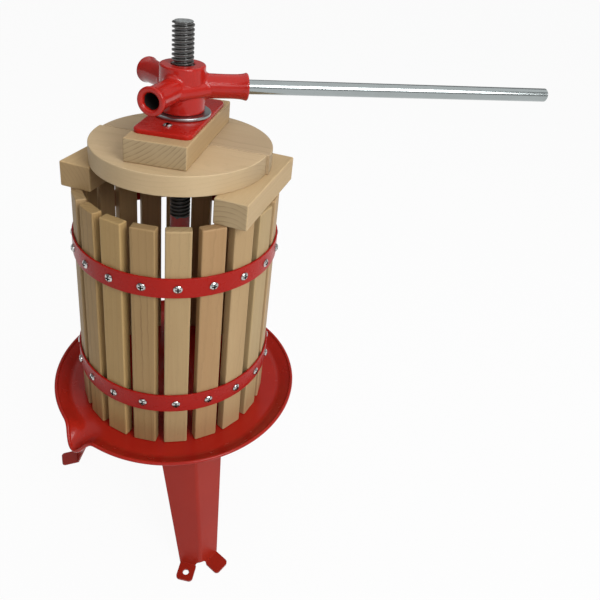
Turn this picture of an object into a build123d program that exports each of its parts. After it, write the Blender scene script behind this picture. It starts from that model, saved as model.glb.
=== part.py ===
from build123d import *
import math
import os

# A small basket fruit press: a tripod juice tray with a threaded spindle, a slatted wooden basket,
# loose pressing blocks and a screw-down cast head that is turned by a pull bar.
# Millimetres. The origin is on the spindle's axis at floor level, +Z up, the front leg towards -Y.
# Angles are in degrees about +Z, and a piece that is turned by 0 faces -Y.

# How far a cutting shape runs past the faces it cuts
CUT_PAST = 1.0

# Heights, from the floor up
TRAY_FLOOR_Z = 158.5
SLAT_LENGTH = 246.0
LOWER_BLOCK_HEIGHT = 25.0
DISC_THICKNESS = 19.5
UPPER_BLOCK_HEIGHT = 22.0
PLATE_THICKNESS = 4.0
WASHER_THICKNESS = 3.5
HEAD_HEIGHT = 43.0
SPINDLE_TOP_Z = 559.0

SLAT_TOP_Z = TRAY_FLOOR_Z + SLAT_LENGTH
DISC_Z = SLAT_TOP_Z + LOWER_BLOCK_HEIGHT
UPPER_BLOCK_Z = DISC_Z + DISC_THICKNESS
PLATE_Z = UPPER_BLOCK_Z + UPPER_BLOCK_HEIGHT
WASHER_Z = PLATE_Z + PLATE_THICKNESS
HEAD_Z = WASHER_Z + WASHER_THICKNESS

# How far the loose pieces stand turned about the spindle
BASKET_TURN = 6.2
LOWER_BLOCK_TURN = -39.8
DISC_TURN = -36.0
UPPER_BLOCK_TURN = -31.3
HEAD_TURN = -8.7

# Juice tray: a shallow pressed dish with a rolled rim and a pouring lip between two of the legs
SHEET = 2.0
TRAY_FLOOR_R = 114.0
TRAY_CORNER_R = 12.0
TRAY_WALL_SLOPE = 33.0
TRAY_WALL_LENGTH = 13.0
RIM_ROLL_R = 1.9
LIP_TURN = -58.5
LIP_ROOT = 112.0
LIP_TIP = 141.0
LIP_TIP_HALF_WIDTH = 6.0
LIP_TIP_FLOOR_Z = TRAY_FLOOR_Z - 8.5
LIP_TIP_EDGE_Z = LIP_TIP_FLOOR_Z + 3.5
LIP_RIM_HALF_WIDTH = 27.5
LIP_BEND_R = 3.5
LIP_EDGE_OVER = 0.2
LIP_BEAD_R = 2.2

# Legs: folded sheet in a V that points outwards, with two foot tabs each
LEG_HALF_ANGLE = 59.5
LEG_TOP_R = 84.0
LEG_FOOT_R = 135.0
LEG_TOP_WIDTH = 44.0
LEG_FOOT_WIDTH = 23.9
LEG_FOLD_R = 5.0
TAB_START = 5.9
TAB_LENGTH = 17.6
TAB_CORNER_R = 4.0
TAB_HOLE_R = 3.25
TAB_HOLE_OUT = 9.0
FOOT_ARCH_R = 6.0

# Spindle: a plain lower shank and a right-hand trapezoidal thread
SPINDLE_R = 10.0
THREAD_ROOT_R = 7.75
THREAD_PITCH = 4.0
THREAD_FLANK = 15.0
THREAD_ROOT_SHARE = 0.366
THREAD_START_Z = 369.5
SPINDLE_TIP_CHAMFER = 1.5
THREAD_RUN_OUT = 2 * THREAD_PITCH
SPINDLE_FLANGE_R = 20.0
SPINDLE_FLANGE_THICKNESS = 5.0
WELD_GAP = 0.05

# Basket, which stands loose in the tray and so a little off the spindle's axis
BASKET_SHIFT = (-2.4, 1.0)
SLAT_COUNT = 20
SLAT_OUTER_R = 99.5
SLAT_WIDTH = 23.0
SLAT_THICKNESS = 10.0
SLAT_EASE = 1.6
HOOP_INNER_R = 100.1
HOOP_THICKNESS = 2.0
HOOP_WIDTH = 20.0
HOOP_EASE = 0.5
LOWER_HOOP_Z = TRAY_FLOOR_Z + 55.0
UPPER_HOOP_Z = TRAY_FLOOR_Z + 190.0

# Pan-head screws with a cross recess
SCREW_HEAD_R = 4.0
SCREW_HEAD_HEIGHT = 2.4
SCREW_HEAD_EDGE = 1.0
SCREW_SHOULDER_R = 2.9
SCREW_SHOULDER_HEIGHT = 1.95
SCREW_SHANK_R = 1.9
SCREW_POINT = 1.1
SCREW_HOLE_R = 2.0
HOOP_SCREW_LENGTH = 9.0
SLAT_HOLE_DEPTH = 8.0
PLATE_SCREW_LENGTH = 20.0
BLOCK_HOLE_DEPTH = 20.0
RECESS_SPAN = 5.0
RECESS_SLOT = 1.4
RECESS_DEPTH = 1.3

# Wooden pressing pieces
LOWER_BLOCK_WIDTH = 32.0
LOWER_BLOCK_LENGTH = 124.0
LEFT_BLOCK_OFFSET = 76.5
RIGHT_BLOCK_OFFSET = 78.5
DISC_R = 85.0
DISC_HOLE_R = 16.0
DISC_SEAM_GAP = 0.8
DISC_EASE = 1.0
FRONT_DISC_SHIFT = -0.5
BACK_DISC_SHIFT = 2.3
UPPER_BLOCK_WIDTH = 57.0
UPPER_BLOCK_LENGTH = 140.0
UPPER_BLOCK_HOLE_R = 14.0
WOOD_EASE = 1.5

# Press plate and washer
PLATE_WIDTH = 53.0
PLATE_LENGTH = 112.0
PLATE_CORNER_R = 7.0
PLATE_EASE = 1.5
PLATE_HOLE_R = 14.0
PLATE_SCREW_OFFSET = 38.0
WASHER_R = 27.0
WASHER_HOLE_R = 10.6
WASHER_EASE = 1.2

# Cast press head with three sockets, and the bar
HEAD_R = 21.0
HEAD_TOP_EASE = 1.8
HEAD_FOOT_EASE = 1.5
HEAD_BORE_R = 10.4
HEAD_BORE_CHAMFER = 1.2
ARM_COUNT = 3
ARM_RISE = 23.0
ARM_END = 60.0
ARM_ROOT_R = 12.2
ARM_ROOT_SLOPE = -0.02
ARM_WAIST = 47.0
ARM_WAIST_R = 11.3
ARM_FLARE_R = 12.8
ARM_FLARE_SLOPE = 0.4
ARM_LIP = 2.0
ARM_LIP_EASE = 1.6
ARM_BLEND_R = 4.0
WEB_REACH = 34.0
WEB_HALF_WIDTH = 9.0
WEB_WAIST = 23.0
WEB_HEIGHT = 14.0
WEB_EASE = 6.5
WEB_RISE = ARM_RISE - 1.5
SOCKET_R = 7.5
SOCKET_BOTTOM = 21.5
SOCKET_EASE = 1.5
BAR_R = 6.8
BAR_START = 24.0
BAR_LENGTH = 350.0
BAR_CHAMFER = 1.0

UPRIGHT = (Align.CENTER, Align.CENTER, Align.MIN)


def write(node, shape):
    """Write one named piece, or one group of like pieces, to its own file."""
    export_step(shape, os.path.join("parts", node + ".step"))


def disc_at(radius, z, height):
    """A plain upright cylinder that stands on height z."""
    return Pos(0, 0, z) * Cylinder(radius, height, align=UPRIGHT)


def hole_through(radius, height):
    """A cutter for an upright hole through a piece that stands on z = 0."""
    return disc_at(radius, -CUT_PAST, height + 2 * CUT_PAST)


def eased_box(width, length, height, ease):
    """A block that stands on z = 0 with all its edges rounded."""
    block = Box(width, length, height, align=UPRIGHT)
    return fillet(block.edges(), ease)


def wall_point(radius, angle):
    """A point on the round corner between the tray's floor and its wall, as (r, z)."""
    turn = math.radians(angle)
    out = TRAY_FLOOR_R + radius * math.sin(turn)
    up = TRAY_FLOOR_Z + TRAY_CORNER_R - radius * math.cos(turn)
    return out, up


def tray_rim():
    """The middle of the tray's rim, and the two sheet corners there, as (r, z)."""
    slope = math.radians(TRAY_WALL_SLOPE)
    inner = wall_point(TRAY_CORNER_R, TRAY_WALL_SLOPE)
    outer = wall_point(TRAY_CORNER_R + SHEET, TRAY_WALL_SLOPE)
    along = (TRAY_WALL_LENGTH * math.cos(slope), TRAY_WALL_LENGTH * math.sin(slope))
    inner_end = (inner[0] + along[0], inner[1] + along[1])
    outer_end = (outer[0] + along[0], outer[1] + along[1])
    middle = ((inner_end[0] + outer_end[0]) / 2, (inner_end[1] + outer_end[1]) / 2)
    return middle, inner_end, outer_end


def tray_corner(radius):
    """The arc from the tray's floor to its sloping wall, for the upper or the lower side of the sheet."""
    points = [wall_point(radius, TRAY_WALL_SLOPE * share) for share in (0, 0.5, 1)]
    return ThreePointArc(*points)


def tray_hollow(above):
    """The space over the tray's sheet up to a height, used to trim the pouring lip."""
    inner_end = tray_rim()[1]
    outline = [
        Line((0, TRAY_FLOOR_Z), (TRAY_FLOOR_R, TRAY_FLOOR_Z)),
        tray_corner(TRAY_CORNER_R),
        Polyline(wall_point(TRAY_CORNER_R, TRAY_WALL_SLOPE), inner_end, (inner_end[0], above), (0, above)),
        Line((0, above), (0, TRAY_FLOOR_Z)),
    ]
    return revolve(Plane.XZ * make_face(outline), Axis.Z)


def lip_section(reach, half_width, floor_z, edge_z, top):
    """A section of the pouring lip's trough, which runs towards -Y: round up to its edges, then upright."""
    bottom = ThreePointArc((-half_width, edge_z), (0, floor_z), (half_width, edge_z))
    sides = Polyline((half_width, edge_z), (half_width, top), (-half_width, top), (-half_width, edge_z))
    return Pos(0, -reach, 0) * Rot(90, 0, 0) * make_face([bottom, sides])


def lip_trough(sheet, root, root_top, tip_top):
    """The trough's filled form, thickened outwards by a sheet. It narrows and falls towards its tip."""
    root_half_width, root_edge_z = root
    tip_half_width = LIP_TIP_HALF_WIDTH + sheet
    sections = [
        lip_section(LIP_ROOT, root_half_width + sheet, TRAY_FLOOR_Z - sheet, root_edge_z, root_top),
        lip_section(LIP_TIP, tip_half_width, LIP_TIP_FLOOR_Z - sheet, LIP_TIP_EDGE_Z, tip_top),
    ]
    return loft(sections, ruled=True)


def rim_roll():
    """The rolled rim, which is open where the pouring lip begins."""
    rim_r, rim_z = tray_rim()[0]
    half_gap = math.degrees(math.asin(LIP_RIM_HALF_WIDTH / rim_r))
    circle = Pos(rim_r, rim_z) * Circle(RIM_ROLL_R)
    ring = revolve(Plane.XZ * circle, Axis.Z, 360 - 2 * half_gap)
    return Rot(0, 0, LIP_TURN - 90 + half_gap) * ring


def lip_roll():
    """The rolled edge along both sides of the pouring lip and round its tip, with a bead at both ends."""
    middle = SHEET / 2
    rim_r, rim_z = tray_rim()[0]
    rim = (LIP_RIM_HALF_WIDTH, -math.sqrt(rim_r**2 - LIP_RIM_HALF_WIDTH**2), rim_z)
    corner = (LIP_TIP_HALF_WIDTH + middle, -LIP_TIP, LIP_TIP_EDGE_Z)
    lowest = (0, -LIP_TIP, LIP_TIP_FLOOR_Z - middle)
    points = [(-rim[0], *rim[1:]), (-corner[0], *corner[1:]), lowest, corner, rim]
    path = FilletPolyline(*points, radius=LIP_BEND_R)
    start = Plane(origin=path @ 0, z_dir=path % 0)
    roll = sweep(start * Circle(RIM_ROLL_R), path=path)
    for end in (points[0], points[-1]):
        roll += Pos(*end) * Sphere(LIP_BEAD_R)
    return roll


def pouring_lip():
    """The pouring lip's sheet and the space inside it, drawn out of the tray's rim."""
    rim_r, rim_edge_z = tray_rim()[1]
    rim_reach = math.sqrt(rim_r**2 - LIP_RIM_HALF_WIDTH**2)
    run_back = (LIP_TIP - LIP_ROOT) / (LIP_TIP - rim_reach)
    root_half_width = LIP_TIP_HALF_WIDTH + (LIP_RIM_HALF_WIDTH - LIP_TIP_HALF_WIDTH) * run_back
    root_edge_z = LIP_TIP_EDGE_Z + (rim_edge_z - LIP_TIP_EDGE_Z) * run_back
    root = (root_half_width, root_edge_z)
    clear_z = root_edge_z + 2 * RIM_ROLL_R + CUT_PAST
    space = lip_trough(0, root, clear_z, clear_z)
    sheet = lip_trough(SHEET, root, root_edge_z + LIP_EDGE_OVER, LIP_TIP_EDGE_Z + LIP_EDGE_OVER)
    over_rim = disc_at(LIP_TIP, rim_edge_z, clear_z - rim_edge_z)
    sheet = sheet - space - tray_hollow(clear_z) - over_rim
    turn = Rot(0, 0, LIP_TURN)
    return turn * (sheet + lip_roll()), turn * space


def juice_tray():
    inner_end, outer_end = tray_rim()[1:]
    hole_r = SPINDLE_R + WELD_GAP
    under = TRAY_FLOOR_Z - SHEET
    outline = [
        Line((hole_r, TRAY_FLOOR_Z), (TRAY_FLOOR_R, TRAY_FLOOR_Z)),
        tray_corner(TRAY_CORNER_R),
        Polyline(
            wall_point(TRAY_CORNER_R, TRAY_WALL_SLOPE),
            inner_end,
            outer_end,
            wall_point(TRAY_CORNER_R + SHEET, TRAY_WALL_SLOPE),
        ),
        tray_corner(TRAY_CORNER_R + SHEET),
        Polyline((TRAY_FLOOR_R, under), (hole_r, under), (hole_r, TRAY_FLOOR_Z)),
    ]
    dish = revolve(Plane.XZ * make_face(outline), Axis.Z)
    lip, space = pouring_lip()
    return dish - space + rim_roll() + lip


def leg_section(reach, width, z):
    """The leg's V at height z: its fold lies at radius reach, towards -Y."""
    turn = math.radians(LEG_HALF_ANGLE)
    side = math.sin(turn)
    back = math.cos(turn)
    edge = (width * side, width * back - reach)
    inner_edge = (edge[0] - SHEET * back, edge[1] + SHEET * side)
    inner_fold = (0, SHEET / side - reach)
    points = [
        (-edge[0], edge[1]),
        (0, -reach),
        edge,
        inner_edge,
        inner_fold,
        (-inner_edge[0], inner_edge[1]),
    ]
    return Pos(0, 0, z) * make_face(Polyline(*points, close=True))


def foot_tab():
    """One foot tab, bent outwards from the leg's right face."""
    width = LEG_FOOT_WIDTH - TAB_START
    overlap = SHEET
    plate = Box(width, TAB_LENGTH + overlap, SHEET, align=(Align.MIN, Align.MAX, Align.MIN))
    plate = fillet(plate.edges().filter_by(Axis.Z).group_by(Axis.Y)[0], TAB_CORNER_R)
    plate = Pos(TAB_START, overlap, 0) * plate
    return Pos(0, -LEG_FOOT_R, 0) * Rot(0, 0, 90 - LEG_HALF_ANGLE) * plate


def foot_hole():
    """The floor screw's hole, in the tab on the leg's left face."""
    along = (TAB_START + LEG_FOOT_WIDTH) / 2
    hole = Pos(-along, -TAB_HOLE_OUT, 0) * Cylinder(TAB_HOLE_R, SHEET * 4)
    return Pos(0, -LEG_FOOT_R, 0) * Rot(0, 0, LEG_HALF_ANGLE - 90) * hole


def fold_lines(folded):
    """The long edges in the middle of a folded leg, from the outermost inwards."""
    long_edge = TRAY_FLOOR_Z / 2
    middle = folded.edges().filter_by(lambda edge: abs(edge.center().X) < 0.01 and edge.length > long_edge)
    return middle.sort_by(Axis.Y)


def leg(turn):
    top = leg_section(LEG_TOP_R, LEG_TOP_WIDTH, TRAY_FLOOR_Z - SHEET)
    foot = leg_section(LEG_FOOT_R, LEG_FOOT_WIDTH, 0)
    folded = loft([foot, top], ruled=True)
    folded = fillet(fold_lines(folded)[0], LEG_FOLD_R)
    folded = fillet(fold_lines(folded)[-1], LEG_FOLD_R - SHEET)
    arch = Pos(0, -LEG_FOOT_R, 0) * Rot(90, 0, 0) * Cylinder(FOOT_ARCH_R, LEG_FOOT_WIDTH * 2)
    right_tab = foot_tab()
    left_tab = mirror(right_tab, about=Plane.YZ) - foot_hole()
    return Rot(0, 0, turn) * (folded + right_tab + left_tab - arch)


def thread_groove():
    """The space between the thread's turns, running past the top of the spindle."""
    past_crest = SPINDLE_R - THREAD_ROOT_R + CUT_PAST / 3
    root = THREAD_PITCH * THREAD_ROOT_SHARE / 2
    mouth = root + past_crest * math.tan(math.radians(THREAD_FLANK))
    height = SPINDLE_TOP_Z - THREAD_START_Z + THREAD_RUN_OUT
    path = Helix(pitch=THREAD_PITCH, height=height, radius=THREAD_ROOT_R)
    start = Plane(origin=path @ 0, x_dir=(1, 0, 0), z_dir=path % 0)
    outline = Polyline((0, -root), (0, root), (past_crest, mouth), (past_crest, -mouth), close=True)
    groove = sweep(start * make_face(outline), path=path, is_frenet=True)
    return Pos(0, 0, THREAD_START_Z) * groove


def spindle():
    """The thread is cut into a longer rod, which is then cropped to the spindle's length."""
    flange_z = TRAY_FLOOR_Z - SHEET - SPINDLE_FLANGE_THICKNESS
    length = SPINDLE_TOP_Z - flange_z
    rod = disc_at(SPINDLE_R, flange_z, length + 2 * THREAD_RUN_OUT) - thread_groove()
    crop = disc_at(SPINDLE_R + CUT_PAST, flange_z, length)
    crop = chamfer(crop.edges().group_by(Axis.Z)[-1], SPINDLE_TIP_CHAMFER + CUT_PAST)
    return (rod & crop) + disc_at(SPINDLE_FLANGE_R, flange_z, SPINDLE_FLANGE_THICKNESS)


def screw(length):
    """A pan-head screw along +Z, with the underside of its head at z = 0."""
    crown = [
        Polyline((0, 0), (SCREW_HEAD_R, 0), (SCREW_HEAD_R, SCREW_HEAD_EDGE)),
        ThreePointArc(
            (SCREW_HEAD_R, SCREW_HEAD_EDGE),
            (SCREW_SHOULDER_R, SCREW_SHOULDER_HEIGHT),
            (0, SCREW_HEAD_HEIGHT),
        ),
        Line((0, SCREW_HEAD_HEIGHT), (0, 0)),
    ]
    head = revolve(Plane.XZ * make_face(crown), Axis.Z)
    recess_z = SCREW_HEAD_HEIGHT - RECESS_DEPTH
    slot = Pos(0, 0, recess_z) * Box(RECESS_SPAN, RECESS_SLOT, SCREW_HEAD_HEIGHT, align=UPRIGHT)
    shank = Pos(0, 0, -length) * Cylinder(SCREW_SHANK_R, length, align=UPRIGHT)
    shank = chamfer(shank.edges().group_by(Axis.Z)[0], SCREW_POINT)
    return head - slot - Rot(0, 0, 90) * slot + shank


def slat_angles():
    step = 360 / SLAT_COUNT
    return [BASKET_TURN + step * index for index in range(SLAT_COUNT)]


def outward(turn, radius, z):
    """A place on the basket at that turn, radius and height, with its own +Z pointing outwards."""
    return Pos(*BASKET_SHIFT) * Rot(0, 0, turn) * Pos(0, -radius, z) * Rot(90, 0, 0)


def slat(turn):
    blank = eased_box(SLAT_WIDTH, SLAT_THICKNESS, SLAT_LENGTH, SLAT_EASE)
    middle_r = SLAT_OUTER_R - SLAT_THICKNESS / 2
    placed = Pos(*BASKET_SHIFT) * Rot(0, 0, turn) * Pos(0, -middle_r, TRAY_FLOOR_Z) * blank
    for z in (LOWER_HOOP_Z, UPPER_HOOP_Z):
        placed -= outward(turn, SLAT_OUTER_R, z) * Cylinder(SCREW_HOLE_R, 2 * SLAT_HOLE_DEPTH)
    return placed


def hoop(z):
    outer_r = HOOP_INNER_R + HOOP_THICKNESS
    band = disc_at(outer_r, 0, HOOP_WIDTH) - hole_through(HOOP_INNER_R, HOOP_WIDTH)
    band = fillet(band.edges().filter_by(GeomType.CIRCLE), HOOP_EASE)
    band = Pos(*BASKET_SHIFT, z - HOOP_WIDTH / 2) * band
    for turn in slat_angles():
        band -= outward(turn, outer_r, z) * Cylinder(SCREW_HOLE_R, HOOP_THICKNESS * 4)
    return band


def hoop_screws(z):
    one = screw(HOOP_SCREW_LENGTH)
    seat_r = HOOP_INNER_R + HOOP_THICKNESS
    return Compound(children=[outward(turn, seat_r, z) * one for turn in slat_angles()])


def lower_block(offset):
    block = eased_box(LOWER_BLOCK_WIDTH, LOWER_BLOCK_LENGTH, LOWER_BLOCK_HEIGHT, WOOD_EASE)
    return Rot(0, 0, LOWER_BLOCK_TURN) * Pos(offset, 0, SLAT_TOP_Z) * block


def disc_half(side, shift):
    """One half of the pressing disc: side -1 is the front half, 1 the back half."""
    whole = disc_at(DISC_R, 0, DISC_THICKNESS) - hole_through(DISC_HOLE_R, DISC_THICKNESS)
    keep = Box(DISC_R * 3, DISC_R * 2, DISC_THICKNESS * 4, align=(Align.CENTER, Align.MIN, Align.CENTER))
    half = whole & Pos(0, DISC_SEAM_GAP / 2, 0) * keep
    levels = half.edges().group_by(Axis.Z)
    half = fillet(levels[0] + levels[-1], DISC_EASE)
    if side < 0:
        half = Rot(0, 0, 180) * half
    return Rot(0, 0, DISC_TURN) * Pos(shift, 0, DISC_Z) * half


def plate_screw_places(z):
    places = []
    for side in (-1, 1):
        places.append(Rot(0, 0, UPPER_BLOCK_TURN) * Pos(0, side * PLATE_SCREW_OFFSET, z))
    return places


def pressure_block():
    block = eased_box(UPPER_BLOCK_WIDTH, UPPER_BLOCK_LENGTH, UPPER_BLOCK_HEIGHT, WOOD_EASE)
    block -= hole_through(UPPER_BLOCK_HOLE_R, UPPER_BLOCK_HEIGHT)
    placed = Rot(0, 0, UPPER_BLOCK_TURN) * Pos(0, 0, UPPER_BLOCK_Z) * block
    for place in plate_screw_places(PLATE_Z):
        placed -= place * Cylinder(SCREW_HOLE_R, 2 * BLOCK_HOLE_DEPTH)
    return placed


def press_plate():
    blank = extrude(RectangleRounded(PLATE_WIDTH, PLATE_LENGTH, PLATE_CORNER_R), PLATE_THICKNESS)
    blank = fillet(blank.edges().group_by(Axis.Z)[-1], PLATE_EASE)
    blank -= hole_through(PLATE_HOLE_R, PLATE_THICKNESS)
    placed = Rot(0, 0, UPPER_BLOCK_TURN) * Pos(0, 0, PLATE_Z) * blank
    for place in plate_screw_places(PLATE_Z):
        placed -= place * Cylinder(SCREW_HOLE_R, PLATE_THICKNESS * 4)
    return placed


def plate_screws():
    one = screw(PLATE_SCREW_LENGTH)
    return Compound(children=[place * one for place in plate_screw_places(WASHER_Z)])


def thrust_washer():
    ring = disc_at(WASHER_R, 0, WASHER_THICKNESS)
    ring = fillet(ring.edges().filter_by(GeomType.CIRCLE), WASHER_EASE)
    return Pos(0, 0, WASHER_Z) * (ring - hole_through(WASHER_HOLE_R, WASHER_THICKNESS))


def arm_turns():
    return [HEAD_TURN + index * 360 / ARM_COUNT for index in range(ARM_COUNT)]


def arm():
    """One socket arm along +X, turned about its own axis: thick at the root, flared at the mouth."""
    flare = (ARM_END - ARM_LIP, ARM_FLARE_R)
    lip_end = (ARM_END, ARM_FLARE_R - ARM_LIP_EASE)
    lip_middle = (ARM_END - ARM_LIP / 4, ARM_FLARE_R - ARM_LIP_EASE / 3)
    slopes = [(1, ARM_ROOT_SLOPE), (1, ARM_FLARE_SLOPE)]
    outline = [
        Line((0, 0), (0, ARM_ROOT_R)),
        Spline((0, ARM_ROOT_R), (ARM_WAIST, ARM_WAIST_R), flare, tangents=slopes),
        ThreePointArc(flare, lip_middle, lip_end),
        Polyline(lip_end, (ARM_END, 0), (0, 0)),
    ]
    return revolve(make_face(outline), Axis.X)


def beside_arm(turn, along, across):
    """A flat point at a distance along an arm that is turned by that angle, and across it."""
    angle = math.radians(turn)
    forward = (math.cos(angle), math.sin(angle))
    return along * forward[0] - across * forward[1], along * forward[1] + across * forward[0]


def arm_web():
    """The cast web that joins the arms' roots: a round-edged star whose sides curve in between the arms."""
    outline = []
    step = 360 / ARM_COUNT
    for turn in arm_turns():
        start = beside_arm(turn, WEB_REACH, WEB_HALF_WIDTH)
        waist = beside_arm(turn + step / 2, WEB_WAIST, 0)
        end = beside_arm(turn + step, WEB_REACH, -WEB_HALF_WIDTH)
        slopes = [beside_arm(turn, -1, 0), beside_arm(turn + step, 1, 0)]
        outline.append(Spline(start, waist, end, tangents=slopes))
        outline.append(Line(end, beside_arm(turn + step, WEB_REACH, WEB_HALF_WIDTH)))
    star = extrude(make_face(outline), WEB_HEIGHT)
    star = fillet(star.edges().filter_by(GeomType.BSPLINE), WEB_EASE)
    return Pos(0, 0, HEAD_Z + WEB_RISE - WEB_HEIGHT / 2) * star


def socket():
    """The blind hole of one arm along +X, with an eased mouth."""
    outline = Polyline(
        (SOCKET_BOTTOM, 0),
        (SOCKET_BOTTOM, SOCKET_R),
        (ARM_END - SOCKET_EASE, SOCKET_R),
        (ARM_END + SOCKET_EASE, SOCKET_R + 2 * SOCKET_EASE),
        (ARM_END + SOCKET_EASE, 0),
        close=True,
    )
    return revolve(make_face(outline), Axis.X)


def press_head():
    body = disc_at(HEAD_R, HEAD_Z, HEAD_HEIGHT)
    body = fillet(body.edges().group_by(Axis.Z)[-1], HEAD_TOP_EASE)
    body = fillet(body.edges().group_by(Axis.Z)[0], HEAD_FOOT_EASE)
    places = [Pos(0, 0, HEAD_Z + ARM_RISE) * Rot(0, 0, turn) for turn in arm_turns()]
    for place in places:
        body += place * arm()
    seams = body.edges().filter_by(GeomType.BSPLINE)
    body = fillet(seams, ARM_BLEND_R) + arm_web()
    body -= Pos(0, 0, HEAD_Z) * hole_through(HEAD_BORE_R, HEAD_HEIGHT)
    mouths = body.edges().filter_by(GeomType.CIRCLE)
    mouths = mouths.filter_by(lambda edge: abs(edge.radius - HEAD_BORE_R) < 0.01)
    body = chamfer(mouths, HEAD_BORE_CHAMFER)
    for place in places:
        body -= place * socket()
    return body


def handle_bar():
    rod = Rot(0, 90, 0) * Cylinder(BAR_R, BAR_LENGTH, align=UPRIGHT)
    rod = chamfer(rod.edges().filter_by(GeomType.CIRCLE), BAR_CHAMFER)
    return Pos(0, 0, HEAD_Z + ARM_RISE) * Rot(0, 0, HEAD_TURN) * Pos(BAR_START, 0, 0) * rod


os.makedirs("parts", exist_ok=True)

write("juice_tray", juice_tray())
for leg_name, leg_turn in (("front_leg", 0), ("right_leg", 120), ("left_leg", 240)):
    write(leg_name, leg(leg_turn))
write("spindle", spindle())

for number, angle in enumerate(slat_angles(), start=1):
    write(f"slat_{number:02d}", slat(angle))
for level, hoop_z in (("lower", LOWER_HOOP_Z), ("upper", UPPER_HOOP_Z)):
    write(level + "_hoop", hoop(hoop_z))
    write(level + "_hoop_screws", hoop_screws(hoop_z))

write("left_block", lower_block(-LEFT_BLOCK_OFFSET))
write("right_block", lower_block(RIGHT_BLOCK_OFFSET))
write("front_disc_half", disc_half(-1, FRONT_DISC_SHIFT))
write("back_disc_half", disc_half(1, BACK_DISC_SHIFT))
write("pressure_block", pressure_block())
write("press_plate", press_plate())
write("plate_screws", plate_screws())
write("thrust_washer", thrust_washer())
write("press_head", press_head())
write("handle_bar", handle_bar())
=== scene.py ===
import math
import random

import bpy
from mathutils import Euler, Matrix, Vector


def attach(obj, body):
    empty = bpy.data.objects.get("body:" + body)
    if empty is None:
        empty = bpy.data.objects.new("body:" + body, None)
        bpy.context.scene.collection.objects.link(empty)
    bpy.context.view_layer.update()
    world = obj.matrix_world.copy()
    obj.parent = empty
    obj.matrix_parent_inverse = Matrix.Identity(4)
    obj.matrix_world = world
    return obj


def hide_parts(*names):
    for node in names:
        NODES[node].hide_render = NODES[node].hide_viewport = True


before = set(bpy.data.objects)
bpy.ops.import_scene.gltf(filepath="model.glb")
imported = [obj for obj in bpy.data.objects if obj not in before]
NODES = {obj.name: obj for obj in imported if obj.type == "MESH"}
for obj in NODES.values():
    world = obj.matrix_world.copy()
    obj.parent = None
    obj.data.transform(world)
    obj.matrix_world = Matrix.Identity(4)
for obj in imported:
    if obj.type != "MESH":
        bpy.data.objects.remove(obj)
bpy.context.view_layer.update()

# The camera, as fitted to the photograph
CAMERA_PLACE = Vector((-0.1217, -0.5307, 0.6580))
CAMERA_AZIMUTH = math.radians(-22.8)
CAMERA_ELEVATION = math.radians(26.75)
CAMERA_ROLL = math.radians(5.53)
CAMERA_LENS = 36.33
CAMERA_SHIFT = (0.0432, -0.1557)

# How the loose pieces stand turned about the spindle, in degrees, and the basket off it, in metres
SLAT_COUNT = 20
BASKET_TURN = 6.2
BASKET_SHIFT = Vector((-0.0024, 0.0010, 0))
LOWER_BLOCK_TURN = -39.8
DISC_TURN = -36.0
UPPER_BLOCK_TURN = -31.3
HEAD_TURN = -8.7

# The room's light: its wall and ceiling, and how dim its side away from the window is
ROOM_WALL = (0.40, 0.40, 0.40, 1)
ROOM_CEILING = (0.34, 0.345, 0.35, 1)
ROOM_SHADE = 0.5

# The floor: half its width in metres, its paper, and the share of white that the camera and gloss see
FLOOR_REACH = 12.0
FLOOR_PAPER = (0.68, 0.68, 0.68, 1)
FLOOR_WHITE = 0.95

# Each lamp's place to the camera's right, towards the camera and up, its two sides, and its power in watts
LAMPS = {
    "key": (1.15, 1.15, 1.45, (0.9, 0.9), 23.5),
    "strip": (0.1, 1.6, 1.25, (2.0, 0.35), 4.8),
    "top": (0.1, -0.2, 1.7, (2.6, 2.2), 12.5),
}
LAMP_AIM = Vector((0, 0, 0.36))

# The juice tray's dish, its rolled rim, and the pouring lip that is drawn out of it, in metres and degrees
TRAY_FLOOR_Z = 0.1585
TRAY_HOLE_R = 0.01005
TRAY_FLOOR_R = 0.114
TRAY_CORNER_R = 0.012
TRAY_WALL_SLOPE = math.radians(33)
TRAY_WALL_LENGTH = 0.013
SHEET = 0.002
RIM_ROLL_R = 0.0018
LIP_TURN = -60.7
LIP_ROOT = 0.104
LIP_REACH = 0.1388
LIP_DROP = 0.0095
LIP_SPREAD = 0.0137
LIP_POWER = 2.48
PROFILE_STEPS = 10
TRAY_LINES = 720
ROLL_STEPS = 14

# The head's arms and their sockets, in metres
ARM_COUNT = 3
ARM_Z = 0.5015
ARM_END = 0.060
SOCKET_R = 0.0075
SOCKET_PAINT = 0.001

# Where the screw heads sit, from the basket's axis or the floor, and their recess, in metres
HOOP_SCREW_SEAT = 0.1021
PLATE_SCREW_SEAT = 0.4750
RECESS_FLOOR = 0.0011

# The spindle's size, the end of its paint, and how far the edge of any paint wanders, in metres
SPINDLE_R = 0.010
SPINDLE_TOP_Z = 0.559
CREST_ROUNDING = 0.0008
PAINT_LINE_Z = 0.3695
PAINT_WANDER = 0.006

# Colours, as linear red, green and blue
RED = (0.44, 0.0135, 0.0085, 1)
RED_DEEP = (0.39, 0.0105, 0.0068, 1)
# The bare iron of the head's sockets, near black: its dark is painted shade.
BARE_IRON_IN_SHADE = (0.012, 0.009, 0.008, 1)
ZINC = (0.38, 0.415, 0.415, 1)
ZINC_DULL = (0.34, 0.37, 0.37, 1)
NICKEL = (0.60, 0.58, 0.56, 1)
# Near black put in the screws' recesses and in the thread's roots: painted shade.
RECESS_SHADE = (0.016, 0.015, 0.013, 1)
STEEL = (0.060, 0.058, 0.054, 1)
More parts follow.
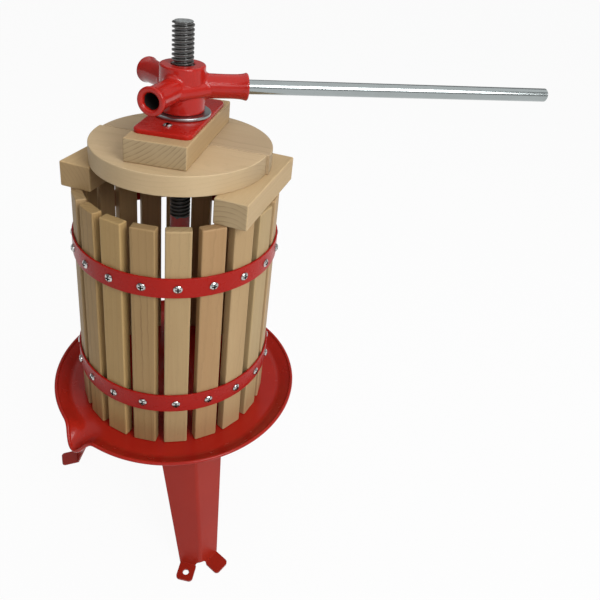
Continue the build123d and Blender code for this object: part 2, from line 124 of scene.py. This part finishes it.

# Each enamel's factors on the red, which make lit and shaded copies of one red paint as painted light and
# shade (a raised green is painted sheen), its specular level, its lowest and highest roughness, and how far
# its creases are rounded, in metres
ENAMELS = {
    "hoop": ((0.87, 0.85, 0.80), 0.15, (0.24, 0.36), 0.0004),
    "leg": ((0.76, 1.35, 0.90), 0.30, (0.30, 0.42), 0.0006),
    "plate": ((1.0, 1.1, 1.0), 0.16, (0.24, 0.36), 0.0006),
    "head": ((1.0, 1.05, 1.0), 0.36, (0.14, 0.24), 0.002),
    "tray": ((0.87, 1.15, 0.90), 0.24, (0.20, 0.30), 0.0006),
}

# Beech, each as its light wood, its dark wood, its end grain and its dark lines
SLAT_BEECH = ((0.48, 0.325, 0.160), (0.36, 0.228, 0.102), (0.38, 0.26, 0.130), (0.18, 0.105, 0.047))
PALE_BEECH = ((0.61, 0.46, 0.275), (0.50, 0.355, 0.195), (0.43, 0.32, 0.190), (0.27, 0.19, 0.105))
GREY_BEECH = ((0.52, 0.39, 0.240), (0.41, 0.295, 0.170), (0.40, 0.30, 0.180), (0.22, 0.155, 0.090))
LEFT_BEECH = ((0.56, 0.39, 0.200), (0.45, 0.295, 0.140), (0.41, 0.275, 0.135), (0.19, 0.125, 0.060))
RIGHT_BEECH = ((0.56, 0.41, 0.230), (0.46, 0.315, 0.160), (0.44, 0.33, 0.190), (0.25, 0.17, 0.090))
PRESS_BEECH = ((0.50, 0.35, 0.185), (0.40, 0.265, 0.130), (0.43, 0.325, 0.190), (0.20, 0.135, 0.070))

# How strong a slat's lines are on its ends, the slats whose colour is set apart from the others, as factors
# on its red, green and blue that paint light and shade into them besides their own wood, and those with
# strong lines on their sides
SLAT_END_LINES = 0.55
SLAT_TONES = {
    17: (0.94, 0.92, 0.84),
    18: (0.96, 0.96, 0.88),
    19: (0.88, 0.84, 0.76),
    20: (1.02, 1.05, 1.12),
    1: (1.02, 0.97, 0.99),
    2: (1.12, 1.18, 1.28),
    3: (1.07, 1.15, 1.18),
    4: (1.07, 1.12, 1.15),
}
STREAKED_SLATS = (17, 19)

# The blocks and the disc halves, each as its turn, where its log's core ran in the piece's own directions,
# its wood, and how strong the wood's lines are on its sides and on its ends
BLOCKS = {
    "right_block": (LOWER_BLOCK_TURN, (0.085, 0, 0.372), RIGHT_BEECH, 0.16, 0.9),
    "left_block": (LOWER_BLOCK_TURN, (-0.120, 0, 0.380), LEFT_BEECH, 0.16, 0.4),
    "pressure_block": (UPPER_BLOCK_TURN, (-0.060, 0, 0.530), PRESS_BEECH, 0.16, 0.9),
}
DISC_HALVES = {
    "front_disc": (DISC_TURN, (0, -0.040, 0.350), PALE_BEECH, 0.16, 0.55),
    "back_disc": (DISC_TURN, (0, 0.050, 0.390), GREY_BEECH, 0.3, 0.55),
}


def turned(degrees):
    return Matrix.Rotation(math.radians(degrees), 3, "Z")


# Camera
def camera_right():
    """The level direction to the camera's right."""
    return Vector((math.cos(CAMERA_AZIMUTH), math.sin(CAMERA_AZIMUTH), 0))


def towards_camera():
    """The level direction to the camera."""
    return Vector((math.sin(CAMERA_AZIMUTH), -math.cos(CAMERA_AZIMUTH), 0))


def make_camera():
    data = bpy.data.cameras.new("camera")
    data.sensor_width = 36
    data.lens = CAMERA_LENS
    data.shift_x, data.shift_y = CAMERA_SHIFT
    data.clip_start = 0.02
    level = camera_right()
    back = towards_camera() * math.cos(CAMERA_ELEVATION) + Vector((0, 0, math.sin(CAMERA_ELEVATION)))
    right = level * math.cos(CAMERA_ROLL) + back.cross(level) * math.sin(CAMERA_ROLL)
    up = back.cross(right)
    camera = bpy.data.objects.new("camera", data)
    camera.matrix_world = Matrix.Translation(CAMERA_PLACE) @ Matrix((right, up, back)).transposed().to_4x4()
    bpy.context.scene.collection.objects.link(camera)
    bpy.context.scene.camera = camera


# Nodes
def new_material(name):
    """A material with its shader: every constant is set on the shader's own sockets."""
    material = bpy.data.materials.new(name)
    material.use_nodes = True
    return material, material.node_tree.nodes["Principled BSDF"]


def add(tree, kind, inputs=None, **settings):
    """Add a node. inputs maps a socket's name or number to a value or to another node's output."""
    node = tree.nodes.new(kind)
    for key, value in settings.items():
        setattr(node, key, value)
    for key, value in (inputs or {}).items():
        connect(tree, node, key, value)
    return node


def connect(tree, node, key, value):
    if isinstance(value, bpy.types.NodeSocket):
        tree.links.new(value, node.inputs[key])
    else:
        node.inputs[key].default_value = value


def coordinates(tree):
    return tree.nodes.new("ShaderNodeTexCoord").outputs["Object"]


def stretched(tree, vector, scale):
    node = add(tree, "ShaderNodeMapping", {"Vector": vector, "Scale": scale})
    return node.outputs["Vector"]


def noise(tree, vector, scale, detail=3.0, roughness=0.5):
    inputs = {"Vector": vector, "Scale": scale, "Detail": detail, "Roughness": roughness}
    return add(tree, "ShaderNodeTexNoise", inputs).outputs["Fac"]


def ramp(tree, value, stops):
    """A colour ramp through (position, colour) stops. A plain number stands for a grey."""
    node = add(tree, "ShaderNodeValToRGB", {"Fac": value})
    elements = node.color_ramp.elements
    while len(elements) < len(stops):
        elements.new(0.5)
    for element, (place, colour) in zip(elements, stops):
        element.position = place
        element.color = colour if isinstance(colour, tuple) else (colour, colour, colour, 1)
    return node.outputs["Color"]


def mix(tree, share, first, second, blend="MIX"):
    node = tree.nodes.new("ShaderNodeMix")
    node.data_type = "RGBA"
    node.blend_type = blend
    colours = [index for index, socket in enumerate(node.inputs) if socket.type == "RGBA"]
    for index, value in zip([0] + colours, (share, first, second)):
        connect(tree, node, index, value)
    return next(socket for socket in node.outputs if socket.type == "RGBA")


def maths(tree, operation, *values):
    node = add(tree, "ShaderNodeMath", dict(enumerate(values)), operation=operation)
    return node.outputs[0]


def vector_maths(tree, operation, *values):
    node = add(tree, "ShaderNodeVectorMath", dict(enumerate(values)), operation=operation)
    return node.outputs["Value" if operation in ("LENGTH", "DOT_PRODUCT") else "Vector"]


def normal_of(tree):
    return tree.nodes.new("ShaderNodeTexCoord").outputs["Normal"]


def bump(tree, height, strength, distance, below=None):
    node = add(tree, "ShaderNodeBump", {"Height": height, "Strength": strength, "Distance": distance})
    if below is not None:
        tree.links.new(below, node.inputs["Normal"])
    return node.outputs["Normal"]


# Materials
def edge_share(tree, turn):
    """How far a face is off the piece's own main directions, from 0 on flat faces to 1 on eased edges."""
    inputs = {"Vector": normal_of(tree), "Rotation": turn.to_euler()}
    lay = add(tree, "ShaderNodeMapping", inputs, vector_type="VECTOR")
    size = vector_maths(tree, "ABSOLUTE", lay.outputs["Vector"])
    parts = add(tree, "ShaderNodeSeparateXYZ", {"Vector": size})
    most = maths(tree, "MAXIMUM", parts.outputs["X"], parts.outputs["Y"])
    most = maths(tree, "MAXIMUM", most, parts.outputs["Z"])
    return ramp(tree, most, [(0.86, 1.0), (0.97, 0.0)])


def toned(colour, tone):
    """A colour's red, green and blue, each times its tone."""
    return tuple(channel * factor for channel, factor in zip(colour, tone)) + (1,)


def bore_share(tree, place):
    """1 deep inside the head's sockets, 0 elsewhere, with a ragged edge where the paint runs out."""
    ragged = noise(tree, place, 300, 3)
    share = None
    for index in range(ARM_COUNT):
        arm = Matrix.Rotation(-math.radians(HEAD_TURN + index * 360 / ARM_COUNT), 3, "Z")
        lay = add(tree, "ShaderNodeMapping", {"Vector": place, "Rotation": arm.to_euler()})
        lay.inputs["Location"].default_value = (0, 0, -ARM_Z)
        parts = add(tree, "ShaderNodeSeparateXYZ", {"Vector": lay.outputs["Vector"]})
        off_axis = add(tree, "ShaderNodeCombineXYZ", {1: parts.outputs["Y"], 2: parts.outputs["Z"]})
        reach = vector_maths(tree, "LENGTH", off_axis.outputs["Vector"])
        within = maths(tree, "LESS_THAN", reach, SOCKET_R * 1.02)
        edge = maths(tree, "MULTIPLY_ADD", ragged, -PAINT_WANDER, ARM_END - SOCKET_PAINT)
        deep = maths(tree, "LESS_THAN", parts.outputs["X"], edge)
        ahead = maths(tree, "GREATER_THAN", parts.outputs["X"], ARM_END / 3)
        one = maths(tree, "MULTIPLY", maths(tree, "MULTIPLY", within, deep), ahead)
        share = one if share is None else maths(tree, "MAXIMUM", share, one)
    return share


def enamel(name, bores=False):
    """Thick paint: slight pooling of its colour, a faint orange peel, and dust in its gloss."""
    tone, specular, gloss, soften = ENAMELS[name]
    material, shader = new_material(name + "_enamel")
    tree = material.node_tree
    place = coordinates(tree)
    # tone gives this part its own lit and shaded copy of the red: painted light and shade.
    shades = [(0.30, toned(RED_DEEP, tone)), (0.62, toned(RED, tone))]
    colour = ramp(tree, noise(tree, place, 16, 4), shades)
    dust = noise(tree, place, 95, 5, 0.6)
    rough = ramp(tree, dust, [(0.35, gloss[0]), (0.75, gloss[1])])
    # Deep in the sockets the bare iron is painted near black: painted shade in the bores.
    if bores:
        inside = bore_share(tree, place)
        colour = mix(tree, inside, colour, BARE_IRON_IN_SHADE)
        rough = mix(tree, inside, rough, (0.8, 0.8, 0.8, 1))
    round_creases = add(tree, "ShaderNodeBevel", {"Radius": soften}, samples=8)
    peel = bump(tree, noise(tree, place, 380, 2), 0.03, 0.0004, round_creases.outputs["Normal"])
    connect(tree, shader, "Base Color", colour)
    connect(tree, shader, "Roughness", rough)
    connect(tree, shader, "Normal", bump(tree, noise(tree, place, 40, 2), 0.03, 0.0012, peel))
    shader.inputs["Specular IOR Level"].default_value = specular
    return material


def beech(name, turn, heart, wood, lines, end_lines, tone=(1, 1, 1)):
    """Planed beech. turn lays the material's Z along the fibres, and heart is where the log's core ran."""
    chance = random.Random(name)
    light, dark, end_wood, line_wood = (toned(colour, tone) for colour in wood)
    material, shader = new_material(name)
    tree = material.node_tree
    log = add(tree, "ShaderNodeMapping", {"Vector": coordinates(tree)})
    log.inputs["Rotation"].default_value = turn.to_euler()
    log.inputs["Location"].default_value = -(turn @ heart)
    place = log.outputs["Vector"]

    # The growth rings, which waver along the log
    inputs = {"Vector": stretched(tree, place, (9, 9, 2.2)), "Scale": 1.0, "Detail": 2.0}
    waver = add(tree, "ShaderNodeTexNoise", inputs)
    bent = vector_maths(tree, "MULTIPLY_ADD", waver.outputs["Color"], (0.012, 0.012, 0), place)
    rings = add(tree, "ShaderNodeTexWave", wave_type="RINGS", rings_direction="Z", wave_profile="SAW")
    connect(tree, rings, "Vector", bent)
    rings.inputs["Scale"].default_value = chance.uniform(66, 90)
    rings.inputs["Distortion"].default_value = 1.6
    rings.inputs["Detail"].default_value = 2.0
    ring = ramp(tree, rings.outputs["Fac"], [(0.0, 0.0), (0.72, 0.2), (0.93, 1.0), (1.0, 0.1)])
    patch = noise(tree, stretched(tree, place, (70, 70, 8)), 1.0, 2)
    ring = maths(tree, "MULTIPLY", ring, ramp(tree, patch, [(0.35, 0.25), (0.65, 1.0)]))

    # Fibres, ray flecks and cloudy shades along the grain
    fibre = noise(tree, stretched(tree, place, (1100, 1100, 14)), 1.0, 4, 0.65)
    streak = noise(tree, stretched(tree, place, (170, 170, 2.5)), 1.0, 3, 0.6)
    cloud = noise(tree, stretched(tree, place, (26, 26, 5)), 1.0, 3)
    speck = noise(tree, stretched(tree, place, (900, 900, 260)), 1.0, 1)
    fleck = ramp(tree, speck, [(0.67, 0.0), (0.74, 1.0)])

    # End grain, where the face looks along the fibres
    facing = vector_maths(tree, "DOT_PRODUCT", normal_of(tree), turn.transposed() @ Vector((0, 0, 1)))
    end = ramp(tree, maths(tree, "ABSOLUTE", facing), [(0.55, 0.0), (0.85, 1.0)])

    base = mix(tree, ramp(tree, cloud, [(0.3, 0.1), (0.7, 0.55)]), light, dark)
    base = mix(tree, maths(tree, "MULTIPLY", ring, lines), base, line_wood)
    base = mix(tree, ramp(tree, streak, [(0.52, 0.0), (0.85, 0.5)]), base, dark)
    base = mix(tree, ramp(tree, fibre, [(0.42, 0.0), (0.80, 0.26)]), base, dark)
    base = mix(tree, maths(tree, "MULTIPLY", fleck, 0.16), base, line_wood)
    cut = mix(tree, maths(tree, "MULTIPLY", ring, end_lines), end_wood, line_wood)
    cut = mix(tree, ramp(tree, fibre, [(0.35, 0.0), (0.75, 0.35)]), cut, dark)
    colour = mix(tree, end, base, cut)
    # The eased edges are made lighter, towards the light wood.
    lighter_share = maths(tree, "MULTIPLY", edge_share(tree, turn), 0.45)
    colour = mix(tree, lighter_share, colour, light)

    grain = bump(tree, fibre, 0.14, 0.0005)
    grain = bump(tree, ring, 0.08, 0.0004, grain)
    connect(tree, shader, "Base Color", colour)
    connect(tree, shader, "Roughness", ramp(tree, fibre, [(0.3, 0.50), (0.8, 0.66)]))
    connect(tree, shader, "Normal", grain)
    shader.inputs["Specular IOR Level"].default_value = 0.25
    return material


def zinc(name, along, gloss):
    """Bright zinc plating with fine drawn lines along a direction. gloss is the two roughnesses."""
    material, shader = new_material(name)
    tree = material.node_tree
    turn = Vector(along).rotation_difference(Vector((0, 0, 1))).to_matrix()
    lay = add(tree, "ShaderNodeMapping", {"Vector": coordinates(tree), "Rotation": turn.to_euler()})
    place = lay.outputs["Vector"]
    line = noise(tree, stretched(tree, place, (1400, 1400, 12)), 1.0, 3, 0.6)
    bloom = noise(tree, place, 60, 5, 0.65)
    colour = mix(tree, ramp(tree, bloom, [(0.35, 0.0), (0.75, 0.7)]), ZINC, ZINC_DULL)
    connect(tree, shader, "Base Color", colour)
    connect(tree, shader, "Roughness", ramp(tree, line, [(0.3, gloss[0]), (0.75, gloss[1])]))
    shader.inputs["Metallic"].default_value = 1.0
    return material


def height_of(tree, place):
    return add(tree, "ShaderNodeSeparateXYZ", {"Vector": place}).outputs["Z"]


def flat_part(tree, place):
    """A place's offset from the spindle's axis."""
    return vector_maths(tree, "MULTIPLY", place, (1, 1, 0))


def out_of_hoop(tree, place):
    """The distance from the basket's own axis, and the direction away from it."""
    off = flat_part(tree, vector_maths(tree, "SUBTRACT", place, BASKET_SHIFT))
    return vector_maths(tree, "LENGTH", off), vector_maths(tree, "NORMALIZE", off)


def out_of_plate(tree, place):
    """The height above the floor, and the direction up."""
    return height_of(tree, place), Vector((0, 0, 1))


def nickel(name, way_out, seat):
    """Plated screw heads with painted shade in their recess, whose floor and walls are painted near black.

    way_out gives a place's height along the screw and the screw's direction.
    """
    material, shader = new_material(name)
    tree = material.node_tree
    place = coordinates(tree)
    spot = noise(tree, place, 260, 4, 0.6)
    height, outward = way_out(tree, place)
    facing = vector_maths(tree, "DOT_PRODUCT", normal_of(tree), outward)
    recess = seat + RECESS_FLOOR
    low = maths(tree, "LESS_THAN", height, recess + 0.0002)
    floor = maths(tree, "MULTIPLY", low, maths(tree, "GREATER_THAN", facing, 0.95))
    inner = maths(tree, "GREATER_THAN", height, recess - 0.00005)
    wall = maths(tree, "MULTIPLY", inner, maths(tree, "LESS_THAN", facing, 0.3))
    plated = ramp(tree, spot, [(0.35, NICKEL), (0.75, ZINC_DULL)])
    # The recess's floor and walls are painted near black: painted shade.
    connect(tree, shader, "Base Color", mix(tree, maths(tree, "MAXIMUM", floor, wall), plated, RECESS_SHADE))
    connect(tree, shader, "Roughness", ramp(tree, spot, [(0.3, 0.14), (0.8, 0.30)]))
    shader.inputs["Metallic"].default_value = 1.0
    return material


def spindle_steel(name):
    """A dark oiled thread whose roots are painted near black as painted shade, with crests lighter in
    random patches, a sawn top, and red enamel up to the paint line.
    """
    material, shader = new_material(name)
    tree = material.node_tree
    place = coordinates(tree)
    grime = noise(tree, place, 220, 5, 0.65)
    reach = vector_maths(tree, "LENGTH", flat_part(tree, place))
    # Painted shade: the thread's roots get near black and the crests keep the steel, in random patches.
    crest = ramp(tree, maths(tree, "DIVIDE", reach, SPINDLE_R), [(0.86, 0.0), (0.985, 1.0)])
    lighter_share = maths(tree, "MULTIPLY", crest, ramp(tree, grime, [(0.30, 0.35), (0.65, 1.0)]))
    steel = mix(tree, lighter_share, RECESS_SHADE, STEEL)
    top = maths(tree, "GREATER_THAN", height_of(tree, place), SPINDLE_TOP_Z - 0.0003)
    sawn = ramp(tree, noise(tree, place, 700, 4, 0.7), [(0.35, STEEL), (0.65, ZINC)])
    steel = mix(tree, top, steel, sawn)
    ragged = noise(tree, place, 160, 3)
    edge = maths(tree, "MULTIPLY_ADD", ragged, PAINT_WANDER, PAINT_LINE_Z - PAINT_WANDER / 2)
    painted = maths(tree, "LESS_THAN", height_of(tree, place), edge)
    connect(tree, shader, "Base Color", mix(tree, painted, steel, RED))
    connect(tree, shader, "Roughness", ramp(tree, grime, [(0.3, 0.10), (0.75, 0.20)]))
    round_crests = add(tree, "ShaderNodeBevel", {"Radius": CREST_ROUNDING}, samples=8)
    connect(tree, shader, "Normal", bump(tree, grime, 0.04, 0.0004, round_crests.outputs["Normal"]))
    shader.inputs["Specular IOR Level"].default_value = 1.0
    return material


# Stage
def studio_paper(name):
    """Pale floor: it keeps a soft shadow and shows as white to the camera and in gloss."""
    material = bpy.data.materials.new(name)
    material.use_nodes = True
    tree = material.node_tree
    tree.nodes.clear()
    matte = add(tree, "ShaderNodeBsdfDiffuse", {"Color": FLOOR_PAPER})
    white = add(tree, "ShaderNodeEmission", {"Color": (1, 1, 1, 1), "Strength": 1.0})
    path = tree.nodes.new("ShaderNodeLightPath")
    seen = maths(tree, "MAXIMUM", path.outputs["Is Camera Ray"], path.outputs["Is Glossy Ray"])
    seen = maths(tree, "MAXIMUM", seen, path.outputs["Is Transmission Ray"])
    share = maths(tree, "MULTIPLY", seen, FLOOR_WHITE)
    both = add(tree, "ShaderNodeMixShader", {0: share, 1: matte.outputs[0], 2: white.outputs[0]})
    add(tree, "ShaderNodeOutputMaterial", {"Surface": both.outputs[0]})
    return material


def make_floor():
    mesh = bpy.data.meshes.new("floor")
    corners = [(x * FLOOR_REACH, y * FLOOR_REACH, 0) for x, y in ((-1, -1), (1, -1), (1, 1), (-1, 1))]
    mesh.from_pydata(corners, [], [(0, 1, 2, 3)])
    floor = bpy.data.objects.new("floor", mesh)
    bpy.context.scene.collection.objects.link(floor)
    floor.data.materials.append(studio_paper("studio_paper"))


def make_world():
    """A soft room: a bright wall at the horizon, a darker ceiling, and a window to the camera's right."""
    world = bpy.data.worlds.new("studio")
    bpy.context.scene.world = world
    world.use_nodes = True
    tree = world.node_tree
    tree.nodes.clear()
    way = tree.nodes.new("ShaderNodeTexCoord").outputs["Generated"]
    rise = add(tree, "ShaderNodeSeparateXYZ", {"Vector": way}).outputs["Z"]
    heights = [(0.0, ROOM_WALL), (0.10, ROOM_WALL), (0.45, ROOM_CEILING), (1.0, ROOM_CEILING)]
    light = ramp(tree, rise, heights)
    side = vector_maths(tree, "DOT_PRODUCT", way, camera_right())
    window = ramp(tree, maths(tree, "MULTIPLY_ADD", side, 0.5, 0.5), [(0.15, ROOM_SHADE), (0.85, 1.0)])
    light = mix(tree, 1.0, light, window, "MULTIPLY")
    room = add(tree, "ShaderNodeBackground", {"Color": light, "Strength": 1.0})
    add(tree, "ShaderNodeOutputWorld", {"Surface": room.outputs[0]})


def make_lamp(name, side, near, height, size, power):
    """A soft lamp placed to the camera's right, towards the camera, and up. It faces the basket."""
    data = bpy.data.lights.new(name, "AREA")
    data.shape = "RECTANGLE"
    data.size, data.size_y = size
    data.energy = power
    lamp = bpy.data.objects.new(name, data)
    lamp.location = camera_right() * side + towards_camera() * near + Vector((0, 0, height))
    aim = LAMP_AIM - lamp.location
    lamp.rotation_euler = aim.to_track_quat("-Z", "Y").to_euler()
    lamp.visible_camera = False
    bpy.context.scene.collection.objects.link(lamp)


def make_studio():
    bpy.context.scene.view_settings.view_transform = "Standard"
    make_world()
    make_floor()
    for name, place_size_power in LAMPS.items():
        make_lamp(name, *place_size_power)


# The juice tray, whose pouring lip flows out of the wall
def corner_point(angle):
    """The point of the corner between floor and wall at which the sheet has turned up by an angle."""
    out = TRAY_CORNER_R * math.sin(angle)
    rise = TRAY_CORNER_R * (1 - math.cos(angle))
    return TRAY_FLOOR_R + out, TRAY_FLOOR_Z + rise


def dish_profile():
    """The dish's upper side from the spindle's hole to its rim, as (radius, height) points."""
    shares = [step / PROFILE_STEPS for step in range(PROFILE_STEPS)]
    points = [(TRAY_HOLE_R + (LIP_ROOT - TRAY_HOLE_R) * share, TRAY_FLOOR_Z) for share in shares]
    points += [(LIP_ROOT + (TRAY_FLOOR_R - LIP_ROOT) * share, TRAY_FLOOR_Z) for share in shares]
    points += [corner_point(TRAY_WALL_SLOPE * share) for share in shares]
    foot_r, foot_z = corner_point(TRAY_WALL_SLOPE)
    for share in shares + [1]:
        along = TRAY_WALL_LENGTH * share
        out = along * math.cos(TRAY_WALL_SLOPE)
        rise = along * math.sin(TRAY_WALL_SLOPE)
        points.append((foot_r + out, foot_z + rise))
    return points


def lip_way(profile):
    """How far from the lip's root to the rim each point of the dish's profile lies, from 0 to 1."""
    length = 0
    lengths = [0]
    for before, after in zip(profile, profile[1:]):
        if before[0] >= LIP_ROOT:
            length += math.dist(before, after)
        lengths.append(length)
    return [value / length for value in lengths]


def tray_line(angle, profile, ways):
    """The points of the upper side at one angle. Near the lip they leave the wall for the trough."""
    rim_r = profile[-1][0]
    across = rim_r * math.sin(angle)
    share = math.exp(-abs(across / LIP_SPREAD) ** LIP_POWER) if math.cos(angle) > 0 else 0
    turn = math.radians(LIP_TURN) + angle
    aim = Vector((math.sin(turn), -math.cos(turn), 0))
    line = []
    for (radius, height), way in zip(profile, ways):
        lip_share = share if way > 0 else 0
        out = radius + (LIP_ROOT + (LIP_REACH - LIP_ROOT) * way - radius) * lip_share
        level = height + (TRAY_FLOOR_Z - LIP_DROP * way**1.5 - height) * lip_share
        line.append(aim * out + Vector((0, 0, level)))
    return line


def sheet_loop(before, line, after):
    """One cut through the sheet: out along its upper side, round the rolled rim, and back underneath."""
    last = len(line) - 1
    lower = []
    for row, place in enumerate(line):
        out = line[min(row + 1, last)] - line[max(row - 1, 0)]
        up = out.cross(after[row] - before[row]).normalized()
        lower.append(place - up * SHEET)
    out.normalize()
    middle = (line[last] + lower[last]) / 2
    start = math.pi - math.asin(SHEET / 2 / RIM_ROLL_R)
    roll = []
    for step in range(ROLL_STEPS + 1):
        angle = start - 2 * start * step / ROLL_STEPS
        roll.append(middle + (out * math.cos(angle) + up * math.sin(angle)) * RIM_ROLL_R)
    return line[:-2] + roll + lower[-3::-1]


def make_tray():
    """The dish as one closed sheet, with its rim rolled also round the lip."""
    profile = dish_profile()
    ways = lip_way(profile)
    lines = [tray_line(2 * math.pi * index / TRAY_LINES, profile, ways) for index in range(TRAY_LINES)]
    loops = []
    for index, line in enumerate(lines):
        loops.append(sheet_loop(lines[index - 1], line, lines[(index + 1) % TRAY_LINES]))
    size = len(loops[0])
    faces = []
    for index in range(TRAY_LINES):
        here = index * size
        there = (index + 1) % TRAY_LINES * size
        for step in range(size):
            onward = (step + 1) % size
            faces.append((here + step, here + onward, there + onward, there + step))
    mesh = bpy.data.meshes.new("enamelled_tray")
    mesh.from_pydata([point for loop in loops for point in loop], [], faces)
    mesh.polygons.foreach_set("use_smooth", [True] * len(mesh.polygons))
    tray = bpy.data.objects.new("enamelled_tray", mesh)
    bpy.context.scene.collection.objects.link(tray)
    tray.data.materials.append(enamel("tray"))
    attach(tray, "base")
    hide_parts("juice_tray")


# Dressing the CAD nodes
def wear(node, material):
    """Give a CAD node its material."""
    mesh = NODES[node].data
    mesh.materials.clear()
    mesh.materials.append(material)


def along_y(turn):
    """The turn that lays Z along a block's length, for a block turned about the spindle."""
    return Matrix(((1, 0, 0), (0, 0, -1), (0, 1, 0))) @ turned(-turn)


def along_x(turn):
    """The turn that lays Z along a disc half's straight edge, for a disc turned about the spindle."""
    return Matrix(((0, 1, 0), (0, 0, 1), (1, 0, 0))) @ turned(-turn)


def dress_slats():
    for index in range(SLAT_COUNT):
        name = f"slat_{index + 1:02d}"
        chance = random.Random(name)
        lean = Euler((chance.uniform(-0.03, 0.03), chance.uniform(-0.03, 0.03), 0)).to_matrix()
        angle = BASKET_TURN + 360 / SLAT_COUNT * index
        heart = turned(angle) @ Vector((chance.uniform(-0.09, 0.09), chance.uniform(-0.02, 0.03), 0.28))
        shade = chance.uniform(0.92, 1.06)
        tone = (shade, shade * chance.uniform(0.965, 1.02), shade * chance.uniform(0.92, 1.05))
        # SLAT_TONES paints light and shade into some slats, besides their wood's own colour.
        tone = tuple(share * factor for share, factor in zip(tone, SLAT_TONES.get(index + 1, (1, 1, 1))))
        lines = 0.55 if index + 1 in STREAKED_SLATS else chance.uniform(0.12, 0.34)
        grain = lean @ turned(-angle)
        wear(name, beech(name + "_beech", grain, heart, SLAT_BEECH, lines, SLAT_END_LINES, tone))


def dress_blocks():
    for name, (turn, heart, *look) in BLOCKS.items():
        core = turned(turn) @ Vector(heart)
        wear(name, beech(name + "_beech", along_y(turn), core, *look))
    for name, (turn, heart, *look) in DISC_HALVES.items():
        core = turned(turn) @ Vector(heart)
        wear(name + "_half", beech(name + "_beech", along_x(turn), core, *look))


def dress():
    hoop_red = enamel("hoop")
    for node in ("lower_hoop", "upper_hoop"):
        wear(node, hoop_red)
    leg_red = enamel("leg")
    for node in ("front_leg", "right_leg", "left_leg"):
        wear(node, leg_red)
    wear("press_plate", enamel("plate"))
    wear("press_head", enamel("head", bores=True))
    wear("spindle", spindle_steel("spindle_steel"))
    hoop_nickel = nickel("hoop_screw_nickel", out_of_hoop, HOOP_SCREW_SEAT)
    wear("lower_hoop_screws", hoop_nickel)
    wear("upper_hoop_screws", hoop_nickel)
    wear("plate_screws", nickel("plate_screw_nickel", out_of_plate, PLATE_SCREW_SEAT))
    wear("handle_bar", zinc("bar_zinc", turned(HEAD_TURN) @ Vector((1, 0, 0)), (0.15, 0.19)))
    wear("thrust_washer", zinc("washer_zinc", (1, 0, 0), (0.28, 0.36)))
    dress_slats()
    dress_blocks()


make_camera()
make_studio()
make_tray()
dress()
